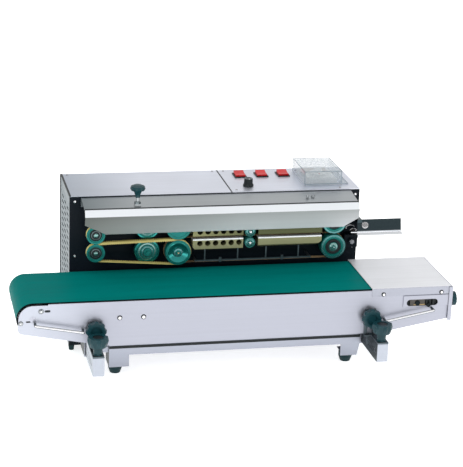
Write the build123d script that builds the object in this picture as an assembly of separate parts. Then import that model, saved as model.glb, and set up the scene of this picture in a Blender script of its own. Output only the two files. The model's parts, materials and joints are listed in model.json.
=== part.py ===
from build123d import *
import math
import os

# Continuous band sealer: sealing head over a powered belt conveyor.
# Millimetres. +X along the conveyor, +Y from the operator's side to the rear, +Z up.
# The parts are built with X = 0 at the conveyor's left end and Y = 0 on the near side
# plate, and are shifted by (-XC, -YC) so that the origin is under the machine's centre.
XC = 428.25
YC = 144.0

# --- driving dimensions ---------------------------------------------------
CONV_L = 840.0          # conveyor length over the end plate
CONV_W = 169.0          # over the two side plates
PLATE_T = 2.0
ROLL_Z = 145.7          # height of both roller axes
NOSE_X = 32.0
TAIL_X = 774.0
BELT_R = 30.5           # outside of the belt on a roller
BELT_T = 2.0
COVER_X0 = 681.0        # where the end cover begins
COVER_Z = 178.2         # top of the end cover
HEAD_X0 = 121.0
HEAD_X1 = 703.0
HEAD_Y = 190.0          # face of the black front plate
HEAD_Y1 = 343.5
HEAD_Z = 321.5
SPLIT_X = 441.2         # joint between the top cover and the control panel
SEAL_Z = 241.0          # height of the seam line
WHEEL_R = 25.0
DRIVE_X = 328.0
IDLER_X = 642.0
EMBOSS_X = 268.5
GUIDE_X = 166.5
PINCH_X = 471.4
AXIS_DZ = 26.0          # drive and idler axes above and below the seam line
GUIDE_SEAM = 237.8      # seam height between the two small guide wheels
GUIDE_DZ = 18.2
EMBOSS_DZ = 24.8
PINCH_DZ = 11.4
BLOCK_LIFT = 4.0        # rest height of the upper blocks above their working position
SHAFT_R = 5.0
RUN = 0.05              # radial running clearance of a shaft in its hole
RAIL_L = 147.5          # sliding arms that carry the conveyor
RAIL_R = 693.5
RAIL_Y0 = -50.0
RAIL_Y1 = 178.0
RAIL_Z0 = 47.0
RAIL_TOP = 83.5
LEG_Z = 21.0            # underside of the base's front legs
FOOT_Y = 78.0
CLAMP_Y = -37.5         # star knobs with vertical axes
KNOB_L = 147.5          # star knobs that clamp the conveyor's height
KNOB_R = 680.0
KNOB_Z = 121.5
SWITCH_X = (480.0, 525.0, 570.0)
SWITCH_Y = 299.0

os.makedirs("parts", exist_ok=True)


def save(name, shape):
    moved = Pos(-XC, -YC, 0) * shape
    moved.label = name
    export_step(moved, "parts/" + name + ".step")


def box(x0, x1, y0, y1, z0, z1):
    mid = Pos((x0 + x1) / 2, (y0 + y1) / 2, (z0 + z1) / 2)
    return mid * Box(x1 - x0, y1 - y0, z1 - z0)


def cyl_x(y, z, r, x0, x1):
    return Pos((x0 + x1) / 2, y, z) * Rot(0, 90, 0) * Cylinder(r, x1 - x0)


def cyl_y(x, z, r, y0, y1):
    return Pos(x, (y0 + y1) / 2, z) * Rot(90, 0, 0) * Cylinder(r, y1 - y0)


def cyl_z(x, y, r, z0, z1):
    return Pos(x, y, (z0 + z1) / 2) * Cylinder(r, z1 - z0)


def prism_xz(pts, y0, y1):
    return extrude(Plane.XZ.offset(-y0) * Polygon(*pts, align=None), amount=y1 - y0, dir=(0, 1, 0))


def prism_yz(pts, x0, x1):
    return extrude(Plane.YZ.offset(x0) * Polygon(*pts, align=None), amount=x1 - x0, dir=(1, 0, 0))


def turn_y(x, z, pts):
    # pts are (radius, y)
    return Pos(x, 0, z) * revolve(Polygon(*pts, align=None), axis=Axis.Y)


def turn_z(x, y, pts):
    # pts are (radius, z)
    return Pos(x, y, 0) * revolve(Plane.XZ * Polygon(*pts, align=None), axis=Axis.Z)


def slot_y(x0, x1, z, r, y0, y1):
    ends = cyl_y(x0 + r, z, r, y0, y1) + cyl_y(x1 - r, z, r, y0, y1)
    return ends + box(x0 + r, x1 - r, y0, y1, z - r, z + r)


def tube_y(x, z, r0, r1, y0, y1):
    return cyl_y(x, z, r1, y0, y1) - cyl_y(x, z, r0, y0 - 1, y1 + 1)


def band_solid(c1, r1, c2, r2, y0, y1):
    # solid bounded by two circles in XZ and their outer tangents
    dx = c2[0] - c1[0]
    dz = c2[1] - c1[1]
    d = math.hypot(dx, dz)
    base = math.atan2(dz, dx)
    lean = math.acos((r1 - r2) / d)
    pts = []
    for sign in (1, -1):
        a = base + sign * lean
        p = (c1[0] + r1 * math.cos(a), c1[1] + r1 * math.sin(a))
        q = (c2[0] + r2 * math.cos(a), c2[1] + r2 * math.sin(a))
        pts += [p, q] if sign > 0 else [q, p]
    body = prism_xz(pts, y0, y1)
    body += cyl_y(c1[0], c1[1], r1, y0, y1)
    body += cyl_y(c2[0], c2[1], r2, y0, y1)
    return body


def band_loop(c1, r1, c2, r2, t, y0, y1):
    outer = band_solid(c1, r1, c2, r2, y0, y1)
    return outer - band_solid(c1, r1 - t, c2, r2 - t, y0 - 1, y1 + 1)


def gear(x, z, module, teeth, first, y0, y1, bore):
    # straight-sided teeth with generous backlash; first is a tooth's angle in degrees
    rp = module * teeth / 2
    steps = ((rp - 1.25 * module, 0.82), (rp + 0.8 * module, 0.36))
    pts = []
    for i in range(teeth):
        a = math.radians(first + 360.0 * i / teeth)
        root, tip = steps
        for r, half, s in ((root[0], root[1], -1), (tip[0], tip[1], -1),
                           (tip[0], tip[1], 1), (root[0], root[1], 1)):
            b = a + s * half * module / r
            pts.append((x + r * math.cos(b), z + r * math.sin(b)))
    return prism_xz(pts, y0, y1) - cyl_y(x, z, bore, y0 - 1, y1 + 1)


def mirror_seam(shape):
    # lower sealing pieces have twins above the seam line
    return Pos(0, 0, 2 * SEAL_Z) * mirror(shape, about=Plane.XY)


# --- base, rails and head housing ------------------------------------------
def leg(x0, x1, side):
    taper = 5.0
    inner = x1 if side < 0 else x0
    z = LEG_Z
    front = [(x0, 46), (x1, 46), (x1, z), (x0, z)]
    if side > 0:
        front = [(x0, 46), (x1, 46), (x1 - taper, z), (x0, z)]
    tab = prism_xz(front, 50, 51.5)
    if side < 0:
        tab += box(x0, x0 + 1.5, 50, 94, z, 46)
        tab += box(x0, inner - 6, 50, 94, z, z + 1.5)
    else:
        tab += box(x1 - 6.5, x1 - 5, 50, 94, z, 46)
        tab += box(x0 + 6, x1 - 5, 50, 94, z, z + 1.5)
    return tab


def socket(xc, x_base):
    # two open-topped guides in which a conveyor arm slides
    g = None
    for y0, y1 in ((52, 108), (128, 172)):
        one = box(xc - 13.4, xc + 13.4, y0, y1, RAIL_Z0 - 2.5, 74)
        one -= box(xc - 11.4, xc + 11.4, y0 - 1, y1 + 1, RAIL_Z0 - 0.4, 75)
        near = xc + 12.4 if x_base > xc else xc - 12.4
        one += box(min(near, x_base), max(near, x_base), y0 + 4, y1 - 4, 50, 62)
        g = one if g is None else g + one
    return g


def base_tray():
    tray = box(181, 679, 50, 190, 45, 76) - box(182.5, 677.5, 51.5, 191, 44, 74.5)
    tray += leg(181, 220, -1) + leg(640, 679, 1)
    return tray + socket(RAIL_L, 181) + socket(RAIL_R, 679)


def rail(xc):
    r = box(xc - 11, xc + 11, RAIL_Y0, RAIL_Y1, RAIL_Z0, RAIL_TOP)
    r -= box(xc - 9, xc + 9, RAIL_Y0 + 2, RAIL_Y1 + 1, RAIL_Z0 + 2, RAIL_TOP - 2.5)
    r -= box(xc - 5.5, xc + 5.5, RAIL_Y0 + 2, RAIL_Y1 + 1, 70, RAIL_TOP + 1)
    r -= cyl_x(RAIL_Y0 + 18, 65, 3.5, xc - 12, xc - 8)
    return r


def rubber_feet():
    feet = None
    for x in (197, 659):
        f = turn_z(x, FOOT_Y, [(0, 0), (10, 0), (13.5, 10), (13.5, LEG_Z), (0, LEG_Z)])
        feet = f if feet is None else feet + f
    for x in (127, 697):
        for y in (199, 333):
            feet += turn_z(x, y, [(0, 0), (5, 0), (6.5, 12), (0, 12)])
    return feet


def shafts():
    # (x, z, shaft radius, bearing flange radius) of every shaft through the front plate
    rows = []
    for s in (-1, 1):
        rows.append((DRIVE_X, SEAL_Z + s * AXIS_DZ, SHAFT_R, 15))
        rows.append((IDLER_X, SEAL_Z + s * AXIS_DZ, SHAFT_R, 15))
        rows.append((EMBOSS_X, SEAL_Z + s * EMBOSS_DZ, SHAFT_R, 15))
        rows.append((GUIDE_X, GUIDE_SEAM + s * GUIDE_DZ, SHAFT_R, 12))
        rows.append((PINCH_X, SEAL_Z + s * PINCH_DZ, 4.0, 9))
    return rows


def front_plate():
    p = box(HEAD_X0, HEAD_X1, HEAD_Y, HEAD_Y + 3, 12, 320)
    for x, z, r, flange in shafts():
        p -= cyl_y(x, z, r + RUN, HEAD_Y - 1, HEAD_Y + 4)
    return p


def bearing_flanges():
    f = None
    for x, z, r, flange in shafts():
        one = tube_y(x, z, r + RUN, flange, 182, HEAD_Y)
        one -= tube_y(x, z, flange * 0.75, flange + 1, 181, 185)
        f = one if f is None else f + one
    return f


def end_panel(x0, rows):
    p = box(x0, x0 + 1.2, HEAD_Y + 3, 342, 14, 320)
    for i in range(rows):
        z = 288 - 12 * i
        for y in (222, 262, 302):
            p -= box(x0 - 1, x0 + 3, y - 13, y + 13, z - 2, z + 2)
    return p


def head_cover():
    c = box(HEAD_X0, SPLIT_X - 0.8, HEAD_Y, 342, 320, HEAD_Z)
    c += box(HEAD_X0, HEAD_X1, 342, HEAD_Y1, 14, HEAD_Z)
    c -= cyl_y(560, 150, 27.5, 340, 345)
    c -= box(642, 672, 340, 345, 50, 72)
    for i in range(8):
        c -= box(180, 240, 340, 345, 120 + 12 * i, 124 + 12 * i)
    return c


def ledge():
    pts = [(190, 318.5), (135, 311.5), (135, 310), (188.5, 316.8), (188.5, 300), (190, 300)]
    return prism_yz(pts, 143, 684.5)


def front_guard():
    pts = [(134.8, 311.5), (129, 297), (138, 259), (139.5, 259.4), (130.6, 297), (134.8, 307.5)]
    g = prism_yz(pts, 144, 687)
    g -= prism_xz([(143, 280.5), (143, 250), (184, 250), (184, 260)], 120, 150)
    g -= prism_xz([(657, 258.5), (657, 250), (688, 250), (688, 278.5)], 120, 150)
    return g


def head_internals():
    # stiff box frame bars behind the front plate that carry the panels
    y0 = HEAD_Y + 3.1
    bars = box(HEAD_X0 + 1.2, HEAD_X0 + 13.2, y0, 342, 308, 320)
    bars += box(HEAD_X1 - 13.2, HEAD_X1 - 1.2, y0, 342, 308, 320)
    bars += box(SPLIT_X - 6, SPLIT_X + 6, y0, 342, 308, 320)
    return bars


# --- controls ------------------------------------------------------------
def control_panel():
    p = box(SPLIT_X + 0.8, HEAD_X1, HEAD_Y, 341.8, 320, HEAD_Z)
    for x in SWITCH_X:
        p -= box(x - 11.2, x + 11.2, SWITCH_Y - 14.4, SWITCH_Y + 14.4, 319, 323)
    p -= cyl_z(482, 226, 4.2, 319, 323)
    p -= box(601.8, 666.2, 227.8, 310.2, 319, 323)
    return p


def switch_bezels():
    b = None
    for x in SWITCH_X:
        y = SWITCH_Y
        one = box(x - 12.5, x + 12.5, y - 15.5, y + 15.5, HEAD_Z, HEAD_Z + 2.2)
        one += box(x - 11, x + 11, y - 14.2, y + 14.2, 303, HEAD_Z)
        one -= box(x - 10.4, x + 10.4, y - 13.6, y + 13.6, 305, HEAD_Z + 3)
        one -= cyl_x(y, HEAD_Z, 1.2 + RUN, x - 10.8, x + 10.8)
        b = one if b is None else b + one
    return b


def rocker(x):
    # rocks about an X axis at the panel's face; stored pressed at its near end
    tilt = 8.0
    rise = 12 * math.tan(math.radians(tilt))
    pts = [(-12, -5), (12, -5), (12, 5 + rise), (0, 5), (-12, 5 + rise)]
    key = prism_yz(pts, -10, 10) + cyl_x(0, 0, 1.2, -10.7, 10.7)
    return Pos(x, SWITCH_Y, HEAD_Z) * Rot(tilt, 0, 0) * key


def speed_pot():
    pot = cyl_z(482, 226, 11, 300, 315) + cyl_z(482, 226, 4, 315, 321.6)
    pot += cyl_z(482, 226, 3, 321, 331)
    return pot


def speed_knob():
    k = turn_z(482, 226, [(0, 322.1), (10.5, 322.1), (10.5, 325), (9, 327), (8.6, 337.5), (0, 337.5)])
    for i in range(12):
        a = math.radians(30 * i)
        k -= cyl_z(482 + 10 * math.cos(a), 226 + 10 * math.sin(a), 1.1, 326, 338)
    k -= cyl_z(482, 226, 3 + RUN, 321, 331.5)
    return k


def temperature_controller():
    c = box(602, 666, 228, 310, 296, 331)
    c += box(604, 664, 230, 308, 331, 333)
    c += cyl_z(634, 262, 3, 333, 338)
    return c


def controller_dial():
    d = turn_z(634, 262, [(0, 333.5), (17, 333.5), (17, 335.5), (9, 336.5), (8, 344), (0, 344)])
    d -= cyl_z(634, 262, 3 + RUN, 333, 338.4)
    return d


def clear_cover():
    c = box(596, 673, 219, 318, 322, 350) - box(597.8, 671.2, 220.8, 316.2, 321, 348.2)
    c += box(672, 687, 219, 318, 322, 323.8)
    c += box(596, 673, 213.5, 220, 322, 323.8)
    c += box(612, 657, 316.5, 319.5, 322.2, 325.5)
    c += cyl_x(321.5, 324.2, 2.3, 612, 657)
    c -= cyl_x(321.5, 324.2, 1.3 + RUN, 611, 658)
    return c


def cover_hinge():
    h = cyl_x(321.5, 324.2, 1.3, 600, 669)
    for x0 in (600, 657.6):
        h += cyl_x(321.5, 324.2, 2.3, x0, x0 + 11.4)
        h += box(x0, x0 + 11.4, 320, 326, HEAD_Z, 323.4)
    return h


def pressure_stem():
    z0 = 311.6 + (141 - 135) * 7 / 55
    z1 = 311.6 + (151 - 135) * 7 / 55
    s = prism_yz([(141, z0), (151, z1), (151, 317), (141, 317)], 240.5, 252.5)
    s += cyl_z(246.5, 146, 3, 316, 340)
    return s


def pressure_knob():
    pts = [(0, 330), (4.6, 330), (5.2, 335), (8, 343), (13, 344.5), (14.8, 348), (13.2, 352.5),
           (7, 355), (0, 355.4)]
    k = turn_z(246.5, 146, pts)
    for i in range(10):
        a = math.radians(36 * i)
        k -= cyl_z(246.5 + 16 * math.cos(a), 146 + 16 * math.sin(a), 2.2, 343, 356)
    k -= cyl_z(246.5, 146, 3 + RUN, 329, 340.4)
    return k


def ledge_bolts():
    b = None
    for x, y, r, h in ((598, 160, 3.2, 5), (586, 156, 2.6, 7), (604, 172, 2.0, 2)):
        z = 311.5 + (y - 135) * 7 / 55
        one = cyl_z(x, y, r, z + 0.4, z + h)
        b = one if b is None else b + one
    return b


# --- sealing train ---------------------------------------------------------
def drive_wheel(z):
    pts = [(0, 141.5), (3.6, 141.5), (3.6, 143.5), (7, 143.5), (9, 147), (19.5, 144.6), (20, 143.8),
           (25, 143.8), (25, 145.7), (22.5, 145.7), (22.5, 154.6), (25, 154.6), (25, 170), (8, 170),
           (8, 181.5), (SHAFT_R, 181.5), (SHAFT_R, 206), (0, 206)]
    return turn_y(DRIVE_X, z, pts)


def idler_wheel(z):
    pts = [(0, 143.5), (3.6, 143.5), (3.6, 146), (9, 146), (10, 148.5), (16, 148.5), (17, 147),
           (24.4, 147), (25, 147.6), (25, 170), (8, 170), (8, 181.5), (SHAFT_R, 181.5),
           (SHAFT_R, 199), (0, 199)]
    return turn_y(IDLER_X, z, pts)


def emboss_wheel(z):
    pts = [(0, 143.5), (3.6, 143.5), (3.6, 149), (8, 149), (8, 152.5), (13.5, 152.5), (13.5, 155.5),
           (19, 155.5), (19, 157), (24.4, 157), (24.4, 170), (8, 170), (8, 181.5),
           (SHAFT_R, 181.5), (SHAFT_R, 199), (0, 199)]
    return turn_y(EMBOSS_X, z, pts)


def guide_wheel(z):
    pts = [(0, 142), (4, 142), (4, 143.5), (9, 143.5), (10, 145), (13.5, 145), (14.5, 143.8),
           (18, 143.8), (18, 145.7), (14.7, 145.7), (14.7, 154.5), (18, 154.5), (18, 156.5), (8, 156.5),
           (8, 181.5), (SHAFT_R, 181.5), (SHAFT_R, 199), (0, 199)]
    return turn_y(GUIDE_X, z, pts)


def pinch_roller(z):
    pts = [(0, 145.5), (3, 145.5), (3, 147), (10.4, 147), (10.4, 170), (6, 170), (6, 181.5),
           (4, 181.5), (4, 199), (0, 199)]
    return turn_y(PINCH_X, z, pts)


def cooling_block():
    b = prism_xz([(357, 224), (361, 219.5), (457.5, 219.5), (457.5, 240.1), (357, 240.1)], 147, 170)
    for i in range(6):
        b -= cyl_y(371.2 + 15.6 * i, 231.2, 5.5, 146, 171)
    for x in (382, 433):
        b += cyl_y(x, 222.5, 3.0, 169, HEAD_Y)
    return b


def heating_block():
    b = prism_xz([(488, 220.5), (608, 220.5), (617, 229), (617, 240.1), (488, 240.1)], 147, 170)
    b -= prism_yz([(146, 219), (153, 219), (146, 225)], 487, 618)
    for x in (505, 590):
        b += cyl_y(x, 228, 4.0, 169, HEAD_Y)
    return b


def raised(block):
    # the upper blocks are carried on springs and stand clear of the seam until a bag passes
    return Pos(0, 0, BLOCK_LIFT) * mirror_seam(block)


def block_support():
    s = box(362, 597, 148.5, 151.5, 193.5, 196.5)
    for x, z in ((382, 219.5), (448, 219.5), (505, 220.5), (571, 220.5)):
        s += cyl_z(x, 150, 1.5, 196, z)
    for x in (413, 538):
        s += cyl_z(x, 150, 3, 192, 201)
    for x in (364, 595):
        s += box(x - 2, x + 2, 151, HEAD_Y, 193.5, 196.5)
    return s


def guide_belt():
    c1 = (GUIDE_X, GUIDE_SEAM - GUIDE_DZ)
    c2 = (DRIVE_X, SEAL_Z - AXIS_DZ)
    return band_loop(c1, 18.1, c2, 25.9, 3.0, 146.0, 154.2)


def guide_belt_upper():
    c1 = (GUIDE_X, GUIDE_SEAM + GUIDE_DZ)
    c2 = (DRIVE_X, SEAL_Z + AXIS_DZ)
    return band_loop(c1, 18.1, c2, 25.9, 3.0, 146.0, 154.2)


def sealing_band():
    c1 = (DRIVE_X, SEAL_Z - AXIS_DZ)
    c2 = (IDLER_X, SEAL_Z - AXIS_DZ)
    return band_loop(c1, 25.9, c2, 25.9, 0.5, 158.5, 169)


def bag_guide():
    upper = prism_yz([(146, 243.5), (152, 268), (154, 268), (148, 243.5)], 690, 781)
    upper += box(676, 781, 144, 149, 243.2, 245.0)
    lower = box(690, 785, 142, 158, 233.5, 238.5)
    arm = box(690, 700, 150, HEAD_Y, 262, 268) + box(690, 700, 157, HEAD_Y, 233.5, 238.5)
    return upper + lower + arm


def band_tensioner():
    t = box(672, 699, 172, HEAD_Y, 204, 230)
    t += cyl_y(686, 217, 7, 166, 172)
    t += box(672, 699, 172, HEAD_Y, 248, 258)
    return t


# --- drive inside the head --------------------------------------------------
def drive_gear(z, first):
    return gear(DRIVE_X, z, 2.0, 26, first, 195.5, 205.5, SHAFT_R + 0.01)


def gear_motor():
    zc = SEAL_Z - AXIS_DZ - 39
    m = box(298, 358, 210, 245, zc - 30, zc + 30)
    m += cyl_y(DRIVE_X, zc, 29, 245, 318)
    m += cyl_y(DRIVE_X, zc, 10, 318, 326)
    m += box(302, 354, 212, 316, 14, zc - 24)
    m -= cyl_y(DRIVE_X, zc, 4 + RUN, 209, 225)
    return m


def motor_pinion():
    zc = SEAL_Z - AXIS_DZ - 39
    p = gear(DRIVE_X, zc, 2.0, 13, 90 + 180 / 13, 195.5, 205.5, 3.5)
    return p + cyl_y(DRIVE_X, zc, 4, 195, 224)


def fan_housing():
    f = box(530, 590, 320, 341.8, 120, 180) - cyl_y(560, 150, 28, 319, 343)
    f += cyl_y(560, 150, 9, 334, 341.8)
    f += box(531, 589, 338.5, 341.8, 148.5, 151.5) + box(558.5, 561.5, 338.5, 341.8, 121, 179)
    f -= cyl_y(560, 150, 2 + RUN, 333, 340)
    return f


def fan_rotor():
    r = cyl_y(560, 150, 11, 322, 333.4) + cyl_y(560, 150, 2, 333, 339.5)
    for i in range(7):
        blade = Pos(560, 327.7, 150) * Rot(0, 360 / 7 * i, 0) * Pos(18.3, 0, 0) * Rot(35, 0, 0)
        r += blade * Box(16.5, 1.6, 12)
    return r


def power_inlet():
    p = box(637, 677, HEAD_Y1, HEAD_Y1 + 2, 47, 75) + box(643, 671, 325, HEAD_Y1 + 1, 51, 71)
    p -= box(645.5, 668.5, 328, HEAD_Y1 + 3, 53.5, 68.5)
    for x in (651, 657, 663):
        p += box(x - 1, x + 1, 327.5, 341, 60, 64)
    return p


# --- conveyor ----------------------------------------------------------------
def plate_outline():
    pts = [(840, 174.2), (840, 111.5), (700.9, 87.1), (170.3, 87.1), (12, 117), (6, 119.5), (4, 125)]
    for i in range(9):
        a = math.radians(180 - 10 * i - 4)
        pts.append((32 + 26.6 * math.cos(a), 145.7 + 26.6 * math.sin(a)))
    pts += [(34, 172.3), (60, 172.3), (60, 174.2)]
    return pts


def side_plate(y0):
    p = prism_xz(plate_outline(), y0, y0 + PLATE_T)
    a, b = y0 - 1, y0 + PLATE_T + 1
    p -= cyl_y(NOSE_X, ROLL_Z, 6 + RUN, a, b)
    p -= slot_y(750, 817, 146.5, 7, a, b)
    p -= slot_y(53.4, 64.2, 161, 2.3, a, b)
    p -= slot_y(19, 27.5, 141.5, 1.6, a, b)
    for x, z in ((KNOB_L, KNOB_Z), (KNOB_R, KNOB_Z)):
        p -= cyl_y(x, z, 4 + RUN, a, b)
    return p


def side_plates():
    s = side_plate(0) + side_plate(CONV_W - PLATE_T)
    for x, z in ((300, 135), (520, 135), (728, 124)):
        s += cyl_y(x, z, 5, 1, CONV_W - 1)
    return s


def slider_bed():
    bed = box(62, 742, 2, 167, 171.8, 173.3)
    bed += box(62, 742, 2, 3.5, 160, 173.3) + box(62, 742, 165.5, 167, 160, 173.3)
    bed -= box(120, 260, 1, 6, 155, 166)
    return bed


def conveyor_belt():
    c1 = (NOSE_X, ROLL_Z)
    c2 = (TAIL_X, ROLL_Z)
    return band_loop(c1, BELT_R, c2, BELT_R, BELT_T, 3.8, 165.2)


def nose_roller():
    r = cyl_y(NOSE_X, ROLL_Z, BELT_R - BELT_T - 0.4, 20, 164)
    r += cyl_y(NOSE_X, ROLL_Z, 6, 0, 170.5)
    return r + cyl_y(NOSE_X, ROLL_Z, 12, 16, 20.5)


def nose_gear():
    return gear(NOSE_X, ROLL_Z, 1.5, 32, 0, 7, 15.5, 6.01)


def tail_roller():
    r = cyl_y(TAIL_X, ROLL_Z, BELT_R - BELT_T - 0.4, 5.5, 163.5)
    return r + cyl_y(TAIL_X, ROLL_Z, 5, -2.6, 171.6)


def takeup_blocks():
    b = None
    for y0, y1, yb in ((-1.0, 3.2, 1), (165.8, 170.0, -1)):
        one = box(759, 789, y0, y1, 140.2, 152.8)
        one -= cyl_y(TAIL_X, ROLL_Z, 5 + RUN, y0 - 1, y1 + 1)
        b = one if b is None else b + one
    return b


def takeup_guides():
    g = None
    for y0, y1 in ((-2.0, 0.0), (CONV_W, CONV_W + 2.0)):
        one = box(745, 836, y0, y1, 139, 161)
        one -= slot_y(752, 815, 146.5, 6.6, y0 - 1, y1 + 1)
        g = one if g is None else g + one
    return g


def end_cover():
    c = box(COVER_X0, 841, -1.5, CONV_W + 1.5, 177.0, COVER_Z)
    c += box(COVER_X0, 841, -1.5, -0.1, 162.5, COVER_Z)
    c += box(COVER_X0, 841, CONV_W + 0.1, CONV_W + 1.5, 162.5, COVER_Z)
    return c


def end_plate():
    p = box(841.5, 844, -2, CONV_W + 2, 108, 176.8)
    p += box(836.5, 844, -3.6, -2, 108, 176.8)
    p += box(836.5, 844, CONV_W + 2, CONV_W + 3.6, 108, 176.8)
    for y in (14, CONV_W - 14):
        p -= cyl_x(y, 146.5, 3 + RUN, 840, 845)
    return p


def tension_knob(y):
    k = cyl_x(y, 146.5, 14, 846.5, 855)
    for i in range(12):
        a = math.radians(30 * i)
        k -= cyl_x(y + 14.6 * math.cos(a), 146.5 + 14.6 * math.sin(a), 1.4, 845, 856)
    k += cyl_x(y, 146.5, 6, 844.6, 847)
    return k + cyl_x(y, 146.5, 3, 810, 847)


def conveyor_motor():
    m = box(60, 250, 3.6, 6.0, 132, 152) - cyl_y(68, ROLL_Z, 7, 0, 10)
    m -= box(59, 83, 0, 17, 120, 160)
    m += box(83, 87, 3.6, 20, 132, 152)
    m += box(63, 140, 17.5, 58, 124, 168)
    m += cyl_y(112, ROLL_Z, 22, 58, 150)
    m -= cyl_y(68, ROLL_Z, 4 + RUN, 16, 40)
    return m


def conveyor_pinion():
    p = gear(68, ROLL_Z, 1.5, 16, 11.25, 7, 15.5, 3.5)
    return p + cyl_y(68, ROLL_Z, 4, 6.5, 39)


def stay_rod(ax, az, bx, bz):
    y = -13.5
    d = math.hypot(bx - ax, bz - az)
    ang = math.degrees(math.atan2(bz - az, bx - ax))
    rod = Pos((ax + bx) / 2, y, (az + bz) / 2) * Rot(0, -ang, 0) * Rot(0, 90, 0)
    rod = rod * Cylinder(2.5, d)
    for x, z in ((ax, az), (bx, bz)):
        rod += Pos(x, y, z) * Sphere(2.5)
        rod += cyl_y(x, z, 2.5, y, 0)
    return rod


def stay_rods():
    return stay_rod(35.5, 137.5, 124, 120.5) + stay_rod(804, 133.5, 708, 115.5)


def conveyor_screws():
    s = None
    rows = [(193, 142, 2.9, 0), (238, 142, 2.9, 0), (47, 161, 3.6, 0), (9.5, 138.8, 3.4, 0),
            (704, 166.5, 2.4, -1.5), (821, 166.5, 2.4, -1.5), (796, 141.2, 3.8, -2.0)]
    for x, z, r, y in rows:
        one = cyl_y(x, z, r, y - 2.2, y)
        s = one if s is None else s + one
    return s


# --- height and reach brackets ---------------------------------------------
def bracket(knob_x, rail_x):
    # a foot plate and a two-pronged upright in front of the conveyor and behind it
    z0 = RAIL_TOP
    z1 = z0 + 3
    left = min(knob_x, rail_x) - 11
    right = max(knob_x, rail_x) + 11
    b = box(rail_x - 11, rail_x + 11, RAIL_Y0, -0.5, z0, z1) + box(left, right, -9, -0.5, z0, z1)
    b -= cyl_z(rail_x, CLAMP_Y, 4 + RUN, z0 - 1, z1 + 1)
    b += box(left, right, CONV_W + 0.5, RAIL_Y1, z0, z1)
    for y0 in (-3.4, CONV_W + 0.5):
        b += box(knob_x - 11, knob_x - 4.6, y0, y0 + 2.9, z1 + 0.1, 137.5)
        b += box(knob_x + 4.6, knob_x + 11, y0, y0 + 2.9, z1 + 0.1, 137.5)
    return b


def stop_tab():
    # hangs in front of the base's right end and limits the arm's travel
    return box(676, 679, -3.4, -0.5, 66, RAIL_TOP - 0.1)


def star_head(r, h, r_low):
    # eight-lobed head with a round recess in its face
    k = Pos(0, 0, -0.2 * h) * Cone(r_low, r, 0.6 * h)
    k += Pos(0, 0, 0.3 * h) * Cone(r, 0.93 * r, 0.4 * h)
    for i in range(8):
        a = math.radians(45 * i + 22.5)
        k -= Pos(1.17 * r * math.cos(a), 1.17 * r * math.sin(a), 0) * Cylinder(0.33 * r, h + 2)
    return k - Pos(0, 0, h / 2) * Cylinder(0.52 * r, 6)


def clamp_knob(x):
    # vertical axis: clamps the bracket's foot on its arm with a T-nut inside the arm
    foot = RAIL_TOP + 3.3
    k = Pos(x, CLAMP_Y, 112) * star_head(20, 18, 16.5)
    hub = [(0, foot), (9.5, foot), (9.5, foot + 2), (8.5, foot + 2.4), (9, 104), (0, 104)]
    k += turn_z(x, CLAMP_Y, hub)
    return k + cyl_z(x, CLAMP_Y, 4, 66, foot + 1)


def height_knob(x):
    # horizontal axis: clamps the bracket's upright to the conveyor's side plate
    k = Pos(x, -11.2, KNOB_Z) * Rot(90, 0, 0) * star_head(20, 12, 18)
    k += turn_y(x, KNOB_Z, [(0, -6), (9, -6), (9, -3.8), (0, -3.8)])
    return k + cyl_y(x, KNOB_Z, 4, -4, 3)


def clamp_nuts():
    n = None
    for x in (RAIL_L, RAIL_R):
        one = box(x - 8, x + 8, CLAMP_Y - 8, CLAMP_Y + 8, 69, RAIL_TOP - 2.6)
        one -= cyl_z(x, CLAMP_Y, 4 + RUN, 60, 84)
        n = one if n is None else n + one
    return n


def chassis():
    c = front_plate() + bearing_flanges() + head_internals() + band_tensioner()
    return c + box(HEAD_X0, HEAD_X1, HEAD_Y + 3.1, HEAD_Y1, 12, 14)


def pair(name, maker, offset):
    save(name + "_lower", maker(SEAL_Z - offset))
    save(name + "_upper", maker(SEAL_Z + offset))


def save_head():
    save("base_tray", base_tray())
    save("rails", rail(RAIL_L) + rail(RAIL_R))
    save("rubber_feet", rubber_feet())
    save("head_chassis", chassis())
    save("end_panels", end_panel(HEAD_X0, 21) + end_panel(HEAD_X1 - 1.2, 21))
    save("head_cover", head_cover())
    save("ledge", ledge() + pressure_stem() + ledge_bolts())
    save("front_guard", front_guard())
    save("control_panel", control_panel() + speed_pot() + cover_hinge())
    save("switch_bezels", switch_bezels())
    for i, x in enumerate(SWITCH_X):
        save("rocker_" + str(i + 1), rocker(x))
    save("speed_knob", speed_knob())
    save("temperature_controller", temperature_controller())
    save("controller_dial", controller_dial())
    save("clear_cover", clear_cover())
    save("pressure_knob", pressure_knob())
    save("gear_motor", gear_motor())
    save("motor_pinion", motor_pinion())
    save("rear_fan", fan_housing())
    save("fan_rotor", fan_rotor())
    save("power_inlet", power_inlet())


def save_sealing():
    low = SEAL_Z - AXIS_DZ
    high = SEAL_Z + AXIS_DZ
    tooth = 180 / 26
    save("drive_wheel_lower", drive_wheel(low) + drive_gear(low, 90))
    save("drive_wheel_upper", drive_wheel(high) + drive_gear(high, -90 + tooth))
    pair("idler_wheel", idler_wheel, AXIS_DZ)
    pair("emboss_wheel", emboss_wheel, EMBOSS_DZ)
    save("guide_wheel_lower", guide_wheel(GUIDE_SEAM - GUIDE_DZ))
    save("guide_wheel_upper", guide_wheel(GUIDE_SEAM + GUIDE_DZ))
    pair("pinch_roller", pinch_roller, PINCH_DZ)
    save("cooling_block_lower", cooling_block())
    save("cooling_block_upper", raised(cooling_block()))
    save("heating_block_lower", heating_block())
    save("heating_block_upper", raised(heating_block()))
    save("block_support", block_support())
    save("guide_belt_lower", guide_belt())
    save("guide_belt_upper", guide_belt_upper())
    save("sealing_band_lower", sealing_band())
    save("sealing_band_upper", mirror_seam(sealing_band()))
    save("bag_guide", bag_guide())


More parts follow.
